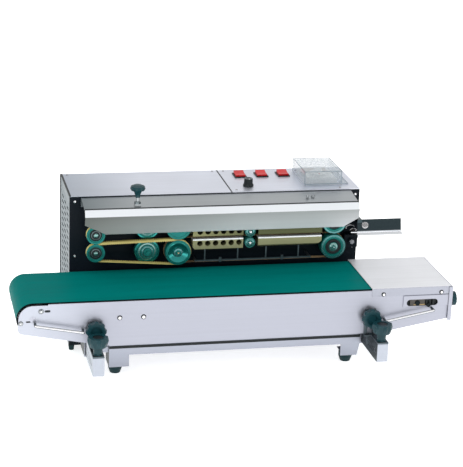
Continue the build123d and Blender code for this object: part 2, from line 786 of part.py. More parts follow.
def save_conveyor():
    save("conveyor_frame", side_plates() + slider_bed() + takeup_guides())
    save("conveyor_belt", conveyor_belt())
    save("nose_roller", nose_roller() + nose_gear())
    save("tail_roller", tail_roller())
    save("takeup_blocks", takeup_blocks())
    save("end_cover", end_cover())
    save("end_plate", end_plate())
    save("tension_knob_near", tension_knob(14))
    save("tension_knob_far", tension_knob(CONV_W - 14))
    save("conveyor_motor", conveyor_motor())
    save("conveyor_pinion", conveyor_pinion())
    save("conveyor_fittings", stay_rods() + conveyor_screws())
    save("brackets", bracket(KNOB_L, RAIL_L) + bracket(KNOB_R, RAIL_R) + clamp_nuts() + stop_tab())
    save("clamp_knob_left", clamp_knob(RAIL_L))
    save("clamp_knob_right", clamp_knob(RAIL_R))
    save("height_knob_left", height_knob(KNOB_L))
    save("height_knob_right", height_knob(KNOB_R))


save_head()
save_sealing()
save_conveyor()
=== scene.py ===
import bpy
import bmesh
import json
import math
from mathutils import Matrix, Vector


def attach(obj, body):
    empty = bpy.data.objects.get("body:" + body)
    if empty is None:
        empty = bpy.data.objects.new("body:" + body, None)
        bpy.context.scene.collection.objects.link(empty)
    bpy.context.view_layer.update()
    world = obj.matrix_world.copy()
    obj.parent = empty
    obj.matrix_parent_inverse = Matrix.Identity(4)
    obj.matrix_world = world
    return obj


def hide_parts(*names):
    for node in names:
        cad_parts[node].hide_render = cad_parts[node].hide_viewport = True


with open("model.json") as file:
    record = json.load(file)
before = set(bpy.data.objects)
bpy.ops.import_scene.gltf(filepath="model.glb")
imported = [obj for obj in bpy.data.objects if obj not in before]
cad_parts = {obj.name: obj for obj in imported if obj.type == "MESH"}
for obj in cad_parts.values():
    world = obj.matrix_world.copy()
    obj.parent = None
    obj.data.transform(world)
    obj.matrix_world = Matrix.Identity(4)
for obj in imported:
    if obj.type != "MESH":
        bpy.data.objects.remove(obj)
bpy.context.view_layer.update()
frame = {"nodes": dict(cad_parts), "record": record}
N = frame["nodes"]
XC = 428.25                     # construction origin to frame origin, mm
YC = 144.0
GUIDE_X = 166.5                 # wheel centres along the sealing train, construction mm
EMBOSS_X = 268.5
DRIVE_X = 328
PINCH_X = 471.4
IDLER_X = 642
SEAL_Z = 241                    # height of the seam line
AXIS_DZ = 26                    # drive and idler axes above and below it
EMBOSS_DZ = 24.8
PINCH_DZ = 11.4
GUIDE_Z = {"lower": 219.6, "upper": 256.0}
LEVELS = (("lower", -1), ("upper", 1))
HEAD_FRONT = 190                # face of the black front plate
PANEL_TOP = 321.5               # top of the control panel and cover
GUARD_CREASE = 0.2972           # bend between the guard's strip, which has a painted highlight, and its face, m
BELT_FRONT = -0.13985           # the conveyor belt's two cut edges, m
BELT_BACK = 0.02085
TAKEUP_BOLT = (0.3630, 0.3725, 0.1368, 0.1460)  # x and z limits of the take-up's bolt, which is given painted shade, m
GUIDE_FOLD = 0.2457             # the bag guide has a painted bright reflection below this height, m
BLOCK_TOP = 0.2360              # top faces of the lower blocks, with a painted highlight, are above this height, m
BLOCK_RIM = 0.2375              # and their rims above this one
FRONT = (0, -1, 0)
UP = (0, 0, 1)
SLOTS = {s["node"]: s["material_slot"] for s in frame["record"]["subparts"]}


def P(x, y, z):
    """Construction millimetres (as in the CAD source) to metres in the frame."""
    return Vector(((x - XC) / 1000, (y - YC) / 1000, z / 1000))


# ---------------------------------------------------------------- materials
def new_mat(name):
    m = bpy.data.materials.new(name)
    m.use_nodes = True
    nt = m.node_tree
    b = nt.nodes["Principled BSDF"]
    return m, nt, b


def texco(nt, scale, rot=(0, 0, 0)):
    tc = nt.nodes.new("ShaderNodeTexCoord")
    mp = nt.nodes.new("ShaderNodeMapping")
    mp.inputs["Scale"].default_value = scale
    mp.inputs["Rotation"].default_value = rot
    nt.links.new(tc.outputs["Object"], mp.inputs["Vector"])
    return mp.outputs["Vector"]


def noise(nt, vec, scale, detail=4.0, rough=0.55):
    n = nt.nodes.new("ShaderNodeTexNoise")
    n.inputs["Scale"].default_value = scale
    n.inputs["Detail"].default_value = detail
    n.inputs["Roughness"].default_value = rough
    nt.links.new(vec, n.inputs["Vector"])
    return n.outputs["Fac"]


def remap(nt, fac, lo, hi, a=0.3, b=0.7):
    r = nt.nodes.new("ShaderNodeMapRange")
    r.inputs["From Min"].default_value = a
    r.inputs["From Max"].default_value = b
    r.inputs["To Min"].default_value = lo
    r.inputs["To Max"].default_value = hi
    nt.links.new(fac, r.inputs["Value"])
    return r.outputs["Result"]


def ramp(nt, fac, stops):
    r = nt.nodes.new("ShaderNodeValToRGB")
    e = r.color_ramp.elements
    while len(e) < len(stops):
        e.new(0.5)
    for i, (p, c) in enumerate(stops):
        e[i].position = p
        e[i].color = (*c, 1)
    nt.links.new(fac, r.inputs["Fac"])
    return r.outputs["Color"]


def bump(nt, fac, b, dist, strength=0.5):
    n = nt.nodes.new("ShaderNodeBump")
    n.inputs["Distance"].default_value = dist
    n.inputs["Strength"].default_value = strength
    nt.links.new(fac, n.inputs["Height"])
    nt.links.new(n.outputs["Normal"], b.inputs["Normal"])


def side_zone(nt, axis, limit, below):
    """1 where the object coordinate on an axis is below (or above) a limit, else 0."""
    tc = nt.nodes.new("ShaderNodeTexCoord")
    sep = nt.nodes.new("ShaderNodeSeparateXYZ")
    nt.links.new(tc.outputs["Object"], sep.inputs[0])
    n = nt.nodes.new("ShaderNodeMath")
    n.operation = "LESS_THAN" if below else "GREATER_THAN"
    n.inputs[1].default_value = limit
    nt.links.new(sep.outputs[axis], n.inputs[0])
    return n.outputs[0]


def facing_zone(nt, axis, limit):
    """1 on faces whose own normal points along minus the axis more than the limit."""
    tc = nt.nodes.new("ShaderNodeTexCoord")
    sep = nt.nodes.new("ShaderNodeSeparateXYZ")
    nt.links.new(tc.outputs["Normal"], sep.inputs[0])
    n = nt.nodes.new("ShaderNodeMath")
    n.operation = "LESS_THAN"
    n.inputs[1].default_value = -limit
    nt.links.new(sep.outputs[axis], n.inputs[0])
    return n.outputs[0]


def blend(nt, fac, col, other):
    """The first colour where fac is 0, the plain second colour where it is 1."""
    mx = nt.nodes.new("ShaderNodeMix")
    mx.data_type = "RGBA"
    nt.links.new(fac, mx.inputs[0])
    nt.links.new(col, mx.inputs[6])
    mx.inputs[7].default_value = (*other, 1)
    return mx.outputs[2]


def scaled(c, k):
    return tuple(min(1.0, v * k) for v in c)


def painted_light_ramp(m, axis, a, c, dark, light):
    """Painted light and shade: multiplies the colour by a slow change from one end of the part to
    the other.
    """
    nt = m.node_tree
    sock = nt.nodes["Principled BSDF"].inputs["Base Color"]
    src = sock.links[0].from_socket
    tc = nt.nodes.new("ShaderNodeTexCoord")
    sep = nt.nodes.new("ShaderNodeSeparateXYZ")
    nt.links.new(tc.outputs["Object"], sep.inputs[0])
    tone = ramp(nt, remap(nt, sep.outputs[axis], 0.0, 1.0, a, c), [(0.0, dark), (1.0, light)])
    mx = nt.nodes.new("ShaderNodeMix")
    mx.data_type = "RGBA"
    mx.blend_type = "MULTIPLY"
    mx.inputs[0].default_value = 1.0
    nt.links.new(src, mx.inputs[6])
    nt.links.new(tone, mx.inputs[7])
    nt.links.new(mx.outputs[2], sock)


def rod_mat(name, color, dark):
    """Bright bar stock: mirror-like face on, with painted shade along both edges of the round."""
    m, nt, b = new_mat(name)
    lw = nt.nodes.new("ShaderNodeLayerWeight")
    lw.inputs["Blend"].default_value = 0.5
    marks = noise(nt, texco(nt, (60, 400, 400)), 1.0, 3.0, 0.5)
    col = ramp(nt, lw.outputs["Facing"], [(0.0, color), (0.12, color), (0.32, dark), (1.0, dark)])
    nt.links.new(col, b.inputs["Base Color"])
    nt.links.new(remap(nt, marks, 0.12, 0.22), b.inputs["Roughness"])
    b.inputs["Metallic"].default_value = 0.9
    bump(nt, marks, b, 0.00002, 0.2)
    return m


def brushed(name, color, rough, scale=(3, 260, 260), metal=1.0, vary=0.06, spread=0.08):
    """Brushed sheet: streaks along one axis in colour, roughness and bump, with faint smudges."""
    m, nt, b = new_mat(name)
    streak = noise(nt, texco(nt, scale), 1.0, 3.0, 0.6)
    smudge = noise(nt, texco(nt, (9, 9, 9)), 1.0, 3.0, 0.5)
    mix = nt.nodes.new("ShaderNodeMath")
    mix.operation = "ADD"
    half = nt.nodes.new("ShaderNodeMath")
    half.operation = "MULTIPLY"
    half.inputs[1].default_value = 0.5
    nt.links.new(streak, mix.inputs[0])
    nt.links.new(smudge, mix.inputs[1])
    nt.links.new(mix.outputs[0], half.inputs[0])
    col = ramp(nt, half.outputs[0],
               [(0.3, scaled(color, 1 - vary)), (0.7, scaled(color, 1 + vary))])
    nt.links.new(col, b.inputs["Base Color"])
    nt.links.new(remap(nt, half.outputs[0], rough - spread, rough + spread), b.inputs["Roughness"])
    b.inputs["Metallic"].default_value = metal
    bump(nt, streak, b, 0.00005, 0.25)
    return m


def painted(name, color, rough, spec=0.4, grain=600, depth=0.00004, vary=0.12, metal=0.0, coat=0.0):
    """Enamel or moulded plastic: fine orange-peel or spark-eroded grain and uneven gloss."""
    m, nt, b = new_mat(name)
    fine = noise(nt, texco(nt, (1, 1, 1)), grain, 2.0, 0.5)
    broad = noise(nt, texco(nt, (1, 1, 1)), 14, 4.0, 0.55)
    col = ramp(nt, broad, [(0.3, scaled(color, 1 - vary)), (0.7, scaled(color, 1 + vary))])
    nt.links.new(col, b.inputs["Base Color"])
    nt.links.new(remap(nt, broad, rough - 0.06, rough + 0.06), b.inputs["Roughness"])
    b.inputs["Metallic"].default_value = metal
    b.inputs["Specular IOR Level"].default_value = spec
    b.inputs["Coat Weight"].default_value = coat
    b.inputs["Coat Roughness"].default_value = 0.12
    bump(nt, fine, b, depth, 0.5)
    return m


def belt_mat(name, color):
    """Two-ply PVC belting: fine woven emboss, faint traffic streaks along the run."""
    m, nt, b = new_mat(name)
    w1 = nt.nodes.new("ShaderNodeTexWave")
    w1.bands_direction = "X"
    w1.inputs["Scale"].default_value = 420
    w2 = nt.nodes.new("ShaderNodeTexWave")
    w2.bands_direction = "Y"
    w2.inputs["Scale"].default_value = 420
    vec = texco(nt, (1, 1, 1))
    nt.links.new(vec, w1.inputs["Vector"])
    nt.links.new(vec, w2.inputs["Vector"])
    mul = nt.nodes.new("ShaderNodeMath")
    mul.operation = "MULTIPLY"
    nt.links.new(w1.outputs["Fac"], mul.inputs[0])
    nt.links.new(w2.outputs["Fac"], mul.inputs[1])
    traffic = noise(nt, texco(nt, (5, 60, 20)), 1.0, 5.0, 0.6)
    col = ramp(nt, traffic, [(0.25, scaled(color, 0.86)), (0.75, scaled(color, 1.12))])
    cut = side_zone(nt, 1, BELT_FRONT, True)
    far = side_zone(nt, 1, BELT_BACK, False)
    both = nt.nodes.new("ShaderNodeMath")
    both.operation = "MAXIMUM"
    nt.links.new(cut, both.inputs[0])
    nt.links.new(far, both.inputs[1])
    nt.links.new(blend(nt, both.outputs[0], col, (0.004, 0.006, 0.007)), b.inputs["Base Color"])
    nt.links.new(remap(nt, traffic, 0.34, 0.48), b.inputs["Roughness"])
    b.inputs["Specular IOR Level"].default_value = 0.1
    b.inputs["IOR"].default_value = 1.12
    bump(nt, mul.outputs[0], b, 0.00006, 0.35)
    return m


def turned(name, color, rough, metal, rings=900):
    """Lathe-turned metal: fine rings of tool marks round the wheel's own axis."""
    m, nt, b = new_mat(name)
    marks = noise(nt, texco(nt, (1, 1, 1)), rings, 2.0, 0.6)
    broad = noise(nt, texco(nt, (1, 1, 1)), 40, 4.0, 0.55)
    col = ramp(nt, broad, [(0.3, scaled(color, 0.85)), (0.7, scaled(color, 1.15))])
    nt.links.new(col, b.inputs["Base Color"])
    nt.links.new(remap(nt, marks, rough - 0.08, rough + 0.08), b.inputs["Roughness"])
    b.inputs["Metallic"].default_value = metal
    bump(nt, marks, b, 0.00003, 0.3)
    return m


def clear_mat(name, lo, hi, facing, color):
    """Clear moulded acrylic: nearly open face on, whiter towards the edge of view."""
    m, nt, b = new_mat(name)
    lw = nt.nodes.new("ShaderNodeLayerWeight")
    lw.inputs["Blend"].default_value = facing
    haze = noise(nt, texco(nt, (1, 1, 1)), 25, 4.0, 0.6)
    nt.links.new(remap(nt, haze, 0.05, 0.14), b.inputs["Roughness"])
    nt.links.new(remap(nt, lw.outputs["Facing"], lo, hi, 0.0, 1.0), b.inputs["Alpha"])
    col = ramp(nt, haze, [(0.3, scaled(color, 0.96)), (0.7, scaled(color, 1.04))])
    nt.links.new(col, b.inputs["Base Color"])
    b.inputs["Specular IOR Level"].default_value = 0.7
    bump(nt, haze, b, 0.0001, 0.08)
    return m


M = {
    "stainless": brushed("stainless", (0.50, 0.515, 0.585), 0.40, metal=0.85),
    "stainless_head": brushed("stainless_head", (0.70, 0.725, 0.80), 0.40, (3, 200, 200), 0.88),
    "stainless_cover": brushed("stainless_cover", (0.80, 0.81, 0.84), 0.46, (3, 160, 160), 0.55),
    "stainless_ledge": brushed("stainless_ledge", (0.40, 0.425, 0.44), 0.36, (2, 300, 300),
                               0.92, 0.10),
    "stainless_guard": brushed("stainless_guard", (0.68, 0.695, 0.71), 0.50, (2, 260, 260), 0.76),
    "stainless_rail": brushed("stainless_rail", (0.42, 0.45, 0.51), 0.36, (200, 4, 200), 0.8),
    "panel_grey": brushed("panel_grey", (0.115, 0.15, 0.165), 0.45, (6, 6, 120), 0.65),
    # painted reflection: stainless given a dark colour, used for the bag guide's plate
    "mirror_dark": brushed("mirror_dark", (0.040, 0.060, 0.068), 0.16, (4, 120, 120),
                           0.9, 0.1, 0.05),
    "black_paint": painted("black_paint", (0.005, 0.009, 0.014), 0.42, 0.10),
    "grey_paint": painted("grey_paint", (0.34, 0.35, 0.36), 0.42, 0.4),
    "rubber": painted("rubber", (0.006, 0.030, 0.034), 0.50, 0.2, 900, 0.00008),
    "belt_green": belt_mat("belt_green", (0.0001, 0.160, 0.146)),
    "wheel_green": turned("wheel_green", (0.003, 0.165, 0.145), 0.30, 0.55),
    "teal_metal": turned("teal_metal", (0.035, 0.29, 0.27), 0.16, 0.95),
    "grey_teal": turned("grey_teal", (0.10, 0.26, 0.26), 0.24, 0.9),
    "hub_grey": turned("hub_grey", (0.20, 0.36, 0.34), 0.22, 0.9),
    "wheel_black": painted("wheel_black", (0.008, 0.012, 0.014), 0.42, 0.3),
    "roller_steel": turned("roller_steel", (0.55, 0.55, 0.57), 0.3, 1.0),
    "roller_rubber": turned("roller_rubber", (0.004, 0.15, 0.13), 0.5, 0.2),
    "block_brass": brushed("block_brass", (0.27, 0.265, 0.145), 0.40, (6, 90, 90), 0.65, 0.16),
    "belt_yellow": painted("belt_yellow", (0.58, 0.49, 0.17), 0.5, 0.35, 500, 0.00008),
    "band_tan": painted("band_tan", (0.36, 0.25, 0.14), 0.42, 0.4, 1500, 0.0001),
    "knob_black": painted("knob_black", (0.006, 0.040, 0.050), 0.27, 0.26, 900, 0.00006),
    "red_plastic": painted("red_plastic", (0.56, 0.010, 0.012), 0.28, 0.4, 900, 0.00003),
    "black_plastic": painted("black_plastic", (0.006, 0.010, 0.011), 0.3, 0.25, 900, 0.00004),
    "cream_plastic": painted("cream_plastic", (0.66, 0.68, 0.67), 0.45, 0.4, 900, 0.00004),
    "label_brown": painted("label_brown", (0.045, 0.038, 0.030), 0.35, 0.5, 500, 0.00002),
    "clear": clear_mat("clear", 0.20, 0.46, 0.45, (0.58, 0.645, 0.70)),
    "clear_edge": clear_mat("clear_edge", 0.72, 0.96, 0.4, (0.24, 0.30, 0.34)),
    "chrome": brushed("chrome", (0.80, 0.80, 0.82), 0.12, (30, 30, 30), 1.0, 0.04, 0.05),
    "screw_steel": turned("screw_steel", (0.42, 0.42, 0.43), 0.22, 1.0),
    "brass": turned("brass", (0.34, 0.25, 0.13), 0.38, 0.9),
    "nut_brass": turned("nut_brass", (0.62, 0.46, 0.28), 0.24, 1.0),
    "label_tan": painted("label_tan", (0.40, 0.34, 0.27), 0.4, 0.4, 500, 0.00002),
    "motor_grey": painted("motor_grey", (0.07, 0.075, 0.08), 0.45, 0.4),
    "gear_steel": turned("gear_steel", (0.30, 0.31, 0.33), 0.4, 1.0),
    "bar_steel": turned("bar_steel", (0.10, 0.125, 0.14), 0.42, 0.9),
    "fan_black": painted("fan_black", (0.010, 0.010, 0.011), 0.45, 0.4),
    "white_mark": painted("white_mark", (0.72, 0.72, 0.70), 0.5, 0.3),
    "nose_steel": turned("nose_steel", (0.30, 0.33, 0.35), 0.42, 0.8),
    "head_steel": turned("head_steel", (0.20, 0.21, 0.22), 0.45, 0.8),
    "stem_steel": turned("stem_steel", (0.16, 0.19, 0.20), 0.30, 1.0),
    # painted shade: the rods are darkened along their edges, by viewing angle
    "rod_chrome": rod_mat("rod_chrome", (0.85, 0.85, 0.87), (0.06, 0.08, 0.085)),
}


def zoned(new, old, color, make):
    """A copy of a material with a second colour where make() gives 1."""
    m = M[old].copy()
    m.name = new
    nt = m.node_tree
    sock = nt.nodes["Principled BSDF"].inputs["Base Color"]
    src = sock.links[0].from_socket
    nt.links.new(blend(nt, make(nt), src, color), sock)
    M[new] = m


def math2(nt, op, a, c):
    """A two-input math node."""
    n = nt.nodes.new("ShaderNodeMath")
    n.operation = op
    nt.links.new(a, n.inputs[0])
    nt.links.new(c, n.inputs[1])
    return n.outputs[0]


def arm_shade(nt):
    """Painted shade: the arms' faces that look left, but for the left arm's front end, which is
    lit.
    """
    away = math2(nt, "MAXIMUM", side_zone(nt, 0, 0.0, False), side_zone(nt, 1, -0.105, False))
    return math2(nt, "MULTIPLY", away, facing_zone(nt, 0, 0.5))


# painted shade: the base's left-looking faces are dark
zoned("stainless_base", "stainless", (0.010, 0.020, 0.022), lambda nt: facing_zone(nt, 0, 0.5))
# painted shade: the arms' left-looking faces are dark
zoned("stainless_arm", "stainless_rail", (0.004, 0.016, 0.018), arm_shade)
# painted reflection: the bag guide's plate is dark stainless, with a bright lower strip
zoned("guide_plate", "mirror_dark", (0.78, 0.80, 0.84),
      lambda nt: side_zone(nt, 2, GUIDE_FOLD, True))
# painted shade: the end cover's front-looking faces are darker and bluer
zoned("cover_sheet", "stainless_cover", (0.38, 0.395, 0.455), lambda nt: facing_zone(nt, 1, 0.5))


def top_highlight_zone(nt):
    """Painted highlight: the bright top face of a lower block and the narrow rim under it."""
    tc = nt.nodes.new("ShaderNodeTexCoord")
    sep = nt.nodes.new("ShaderNodeSeparateXYZ")
    nt.links.new(tc.outputs["Normal"], sep.inputs[0])
    n = nt.nodes.new("ShaderNodeMath")
    n.operation = "GREATER_THAN"
    n.inputs[1].default_value = 0.25
    nt.links.new(sep.outputs["Z"], n.inputs[0])
    top = math2(nt, "MULTIPLY", n.outputs[0], side_zone(nt, 2, BLOCK_TOP, False))
    return math2(nt, "MAXIMUM", top, side_zone(nt, 2, BLOCK_RIM, False))


# painted highlight: the lower blocks' tops and rims are near white
zoned("block_lower", "block_brass", (0.95, 0.97, 1.0), top_highlight_zone)
# painted shade: the tail roller's front end is near black; the nose roller's front end is a darker,
# bluer grey
zoned("roller_tail", "roller_steel", (0.012, 0.016, 0.018),
      lambda nt: side_zone(nt, 1, -0.143, True))
zoned("roller_nose", "roller_steel", (0.44, 0.455, 0.52), lambda nt: side_zone(nt, 1, -0.14, True))


def bolt_shade_zone(nt):
    """Painted shade: the take-up's clamp bolt, dark among the bright fittings."""
    x0, x1, z0, z1 = TAKEUP_BOLT
    across = math2(nt, "MULTIPLY", side_zone(nt, 0, x0, False), side_zone(nt, 0, x1, True))
    height = math2(nt, "MULTIPLY", side_zone(nt, 2, z0, False), side_zone(nt, 2, z1, True))
    return math2(nt, "MULTIPLY", across, height)


# painted shade: the take-up bolt is dark within the bright fittings
zoned("fittings", "rod_chrome", (0.010, 0.014, 0.016), bolt_shade_zone)
# Painted light and shade as slow ramps: the upper blocks darken to the right in the guard's shadow,
# the guard darkens to the left and towards its top, the head's cover and panel and the ledge darken
# to the left, the plain stainless lightens towards the nose end and the base darkens towards the
# floor.
painted_light_ramp(M["block_brass"], 0, -0.07, 0.06, (1.0, 1.0, 0.9), (0.34, 0.38, 0.30))
painted_light_ramp(M["stainless_guard"], 0, -0.30, 0.02, (0.44, 0.44, 0.41), (1.0, 1.0, 1.0))
painted_light_ramp(M["stainless_guard"], 2, 0.262, 0.297, (1.0, 1.0, 1.0), (0.56, 0.57, 0.56))
# Painted highlight: the guard's upper strip, above the crease, gets a lighter colour.
zoned("guard_sheet", "stainless_guard", (0.74, 0.77, 0.80),
      lambda nt: side_zone(nt, 2, GUARD_CREASE, False))
painted_light_ramp(M["stainless_head"], 0, -0.31, -0.15, (0.62, 0.66, 0.68), (1.04, 1.04, 1.04))
painted_light_ramp(M["stainless_ledge"], 0, -0.28, -0.18, (0.48, 0.53, 0.54), (0.95, 0.95, 0.95))
painted_light_ramp(M["stainless"], 0, -0.40, -0.24, (0.98, 1.00, 1.00), (0.78, 0.78, 0.79))
painted_light_ramp(M["stainless_base"], 2, 0.02, 0.08, (0.66, 0.67, 0.69), (0.86, 0.88, 0.90))
NODE_MAT = {"head_cover": "stainless_head", "control_panel": "stainless_head",
            "end_cover": "cover_sheet", "ledge": "stainless_ledge", "front_guard": "guard_sheet",
            "rails": "stainless_arm", "brackets": "bar_steel", "end_panels": "panel_grey",
            "bag_guide": "guide_plate", "block_support": "bar_steel", "base_tray": "stainless_base",
            "cooling_block_lower": "block_lower", "heating_block_lower": "block_lower",
            "tail_roller": "roller_tail", "nose_roller": "roller_nose",
            "takeup_blocks": "label_brown", "conveyor_fittings": "fittings"}
BEVEL = {"head_cover": 0.6, "end_cover": 0.6, "front_guard": 0.35, "ledge": 0.35, "base_tray": 0.5,
         "rubber_feet": 1.0, "controller_dial": 0.5, "temperature_controller": 1.2, "rails": 1.0,
         "brackets": 0.5, "pressure_knob": 0.8, "clear_cover": 0.5}


def soften(o, width, angle=35):
    """Welds, rounds edges and smooths shading, all as modifiers."""
    w = o.modifiers.new("weld", "WELD")
    w.merge_threshold = 0.000002
    bv = o.modifiers.new("edge", "BEVEL")
    bv.width = width / 1000
    bv.segments = 2
    bv.limit_method = "ANGLE"
    bv.angle_limit = math.radians(angle)
    bv.harden_normals = True
    bv.use_clamp_overlap = True
    wn = o.modifiers.new("flat", "WEIGHTED_NORMAL")
    wn.mode = "FACE_AREA"
    wn.weight = 80


for name, o in N.items():
    o.data.materials.clear()
    o.data.materials.append(M[NODE_MAT.get(name, SLOTS[name])])
    for p in o.data.polygons:
        p.use_smooth = True
    wide = 1.2 if "clamp_knob" in name or "height_knob" in name else BEVEL.get(name, 0.3)
    soften(o, wide)


# ---------------------------------------------------------------- builders
def finish_mesh(bm, name, mat, body, bevel=0.0, smooth=True, angle=35):
    me = bpy.data.meshes.new(name)
    bmesh.ops.recalc_face_normals(bm, faces=bm.faces)
    bm.to_mesh(me)
    bm.free()
    o = bpy.data.objects.new(name, me)
    bpy.context.scene.collection.objects.link(o)
    me.materials.append(M[mat])
    for p in me.polygons:
        p.use_smooth = smooth
    if smooth:
        me.set_sharp_from_angle(angle=math.radians(angle))
    if bevel:
        soften(o, bevel, angle)
    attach(o, body)
    return o


def lathe(bm, base, axis, prof, seg=40, phase=0.0):
    """prof is (radius, distance along axis) in mm from base; closed at both ends if radius is 0."""
    axis = Vector(axis).normalized()
    side = axis.orthogonal().normalized()
    up = axis.cross(side)
    rings = []
    for r, h in prof:
        c = base + axis * (h / 1000)
        if r == 0:
            rings.append([bm.verts.new(c)])
            continue
        ring = []
        for i in range(seg):
            a = phase + 2 * math.pi * i / seg
            ring.append(bm.verts.new(c + (side * math.cos(a) + up * math.sin(a)) * (r / 1000)))
        rings.append(ring)
    for a, b in zip(rings, rings[1:]):
        for i in range(seg):
            j = (i + 1) % seg
            if len(a) == 1 and len(b) == 1:
                continue
            if len(a) == 1:
                bm.faces.new((a[0], b[i], b[j]))
            elif len(b) == 1:
                bm.faces.new((a[i], a[j], b[0]))
            else:
                bm.faces.new((a[i], a[j], b[j], b[i]))


def block(bm, x0, x1, y0, y1, z0, z1):
    vs = [bm.verts.new(P(x, y, z)) for x in (x0, x1) for y in (y0, y1) for z in (z0, z1)]
    for f in ((0, 1, 3, 2), (4, 6, 7, 5), (0, 4, 5, 1), (2, 3, 7, 6), (0, 2, 6, 4), (1, 5, 7, 3)):
        bm.faces.new([vs[i] for i in f])


def prism(bm, pts, y0, y1):
    """A closed outline in XZ, extruded along Y."""
    a = [bm.verts.new(P(x, y0, z)) for x, z in pts]
    b = [bm.verts.new(P(x, y1, z)) for x, z in pts]
    bm.faces.new(a)
    bm.faces.new(list(reversed(b)))
    n = len(pts)
    for i in range(n):
        j = (i + 1) % n
        bm.faces.new((a[i], a[j], b[j], b[i]))


def cross_screw(bm, base, axis, r):
    """Pan head with a recess, standing on base."""
    lathe(bm, base, axis, [(r, 0), (r, 0.3 * r), (0.86 * r, 0.6 * r), (0.5 * r, 0.74 * r),
                           (0.40 * r, 0.3 * r), (0, 0.25 * r)], 20)


def hex_screw(bm, base, axis, r):
    lathe(bm, base, axis, [(r * 1.5, 0), (r * 1.5, 0.8), (r * 1.5 - 0.3, 1.0), (r * 0.9, 1.0)], 32)
    lathe(bm, base, axis, [(r, 0.9), (r, 2.6), (r * 0.9, 3.0), (r * 0.55, 3.0), (r * 0.5, 1.4),
                           (0, 1.4)], 24)


def shadow_ring(bm, base, axis, r):
    """A flat dark disc of painted shade that shows round a screw head."""
    lathe(bm, base, axis, [(0, 0), (r, 0), (r, 0.25), (0, 0.25)], 28)


def screws(name, rows, body, mat="screw_steel", kind=cross_screw):
    bm = bmesh.new()
    for base, axis, r in rows:
        kind(bm, base, axis, r)
    return finish_mesh(bm, name, mat, body)


# ---------------------------------------------------------------- camera, light, floor
def stage_scene():
    cam = bpy.data.cameras.new("cam")
    ob = bpy.data.objects.new("cam", cam)
    bpy.context.scene.collection.objects.link(ob)
    yaw, pitch, roll = 0.224361, 0.322608, 0.038163
    fwd = Vector((math.sin(yaw) * math.cos(pitch), math.cos(yaw) * math.cos(pitch),
                  -math.sin(pitch)))
    right = Vector((math.cos(yaw), -math.sin(yaw), 0))
    up = right.cross(fwd)
    r2 = right * math.cos(roll) + up * math.sin(roll)
    u2 = -right * math.sin(roll) + up * math.cos(roll)
    loc = P(-229.819, -2759.873, 1246.505)
    rot = Matrix((r2, u2, -fwd)).transposed().to_4x4()
    ob.matrix_world = Matrix.Translation(loc) @ rot
    cam.sensor_width = 36
    cam.lens = 123.924257
    cam.clip_start = 0.05
    cam.clip_end = 60
    bpy.context.scene.camera = ob
    bpy.context.scene.view_settings.view_transform = "Standard"

    w = bpy.data.worlds.new("studio")
    bpy.context.scene.world = w
    w.use_nodes = True
    nt = w.node_tree
    bg = nt.nodes["Background"]
    tc = nt.nodes.new("ShaderNodeTexCoord")
    sep = nt.nodes.new("ShaderNodeSeparateXYZ")
    nt.links.new(tc.outputs["Generated"], sep.inputs[0])
    r = nt.nodes.new("ShaderNodeMapRange")
    r.inputs["From Min"].default_value = -0.1
    r.inputs["From Max"].default_value = 0.9
    r.inputs["To Min"].default_value = 0.62
    r.inputs["To Max"].default_value = 1.0
    nt.links.new(sep.outputs["Z"], r.inputs["Value"])
    lp = nt.nodes.new("ShaderNodeLightPath")
    mx = nt.nodes.new("ShaderNodeMix")
    mx.data_type = "FLOAT"
    nt.links.new(lp.outputs["Is Camera Ray"], mx.inputs["Factor"])
    nt.links.new(r.outputs["Result"], mx.inputs[2])
    mx.inputs[3].default_value = 1.0
    nt.links.new(mx.outputs[0], bg.inputs["Strength"])
    bg.inputs["Color"].default_value = (1, 1, 1, 1)

    me = bpy.data.meshes.new("floor")
    s = 9.0
    me.from_pydata([(-s, -s, 0), (s, -s, 0), (s, s, 0), (-s, s, 0)], [], [(0, 1, 2, 3)])
    fl = bpy.data.objects.new("floor", me)
    bpy.context.scene.collection.objects.link(fl)
    m, nt, b = new_mat("floor")
    nz = noise(nt, texco(nt, (1, 1, 1)), 3.0)
    nt.links.new(ramp(nt, nz, [(0.3, (0.93, 0.93, 0.93)), (0.7, (0.96, 0.96, 0.96))]),
                 b.inputs["Base Color"])
    b.inputs["Roughness"].default_value = 0.9
    b.inputs["Specular IOR Level"].default_value = 0.1
    b.inputs["Emission Color"].default_value = (1, 1, 1, 1)
    b.inputs["Emission Strength"].default_value = 0.72
    me.materials.append(m)

    def area(name, loc, target, size, power):
        ld = bpy.data.lights.new(name, "AREA")
        ld.shape = "RECTANGLE"
        ld.size, ld.size_y = size
        ld.energy = power
        lo = bpy.data.objects.new(name, ld)
        bpy.context.scene.collection.objects.link(lo)
        lo.location = loc
        lo.rotation_euler = (Vector(target) - Vector(loc)).to_track_quat("-Z", "Y").to_euler()

    area("key", (-1.4, -2.2, 2.4), (0, 0, 0.15), (1.8, 1.4), 22)
    area("fill", (2.2, -1.4, 1.6), (0, 0, 0.15), (1.2, 1.6), 9)
    area("back", (0.2, 1.2, 2.6), (0, 0, 0.2), (2.0, 0.8), 3)


stage_scene()


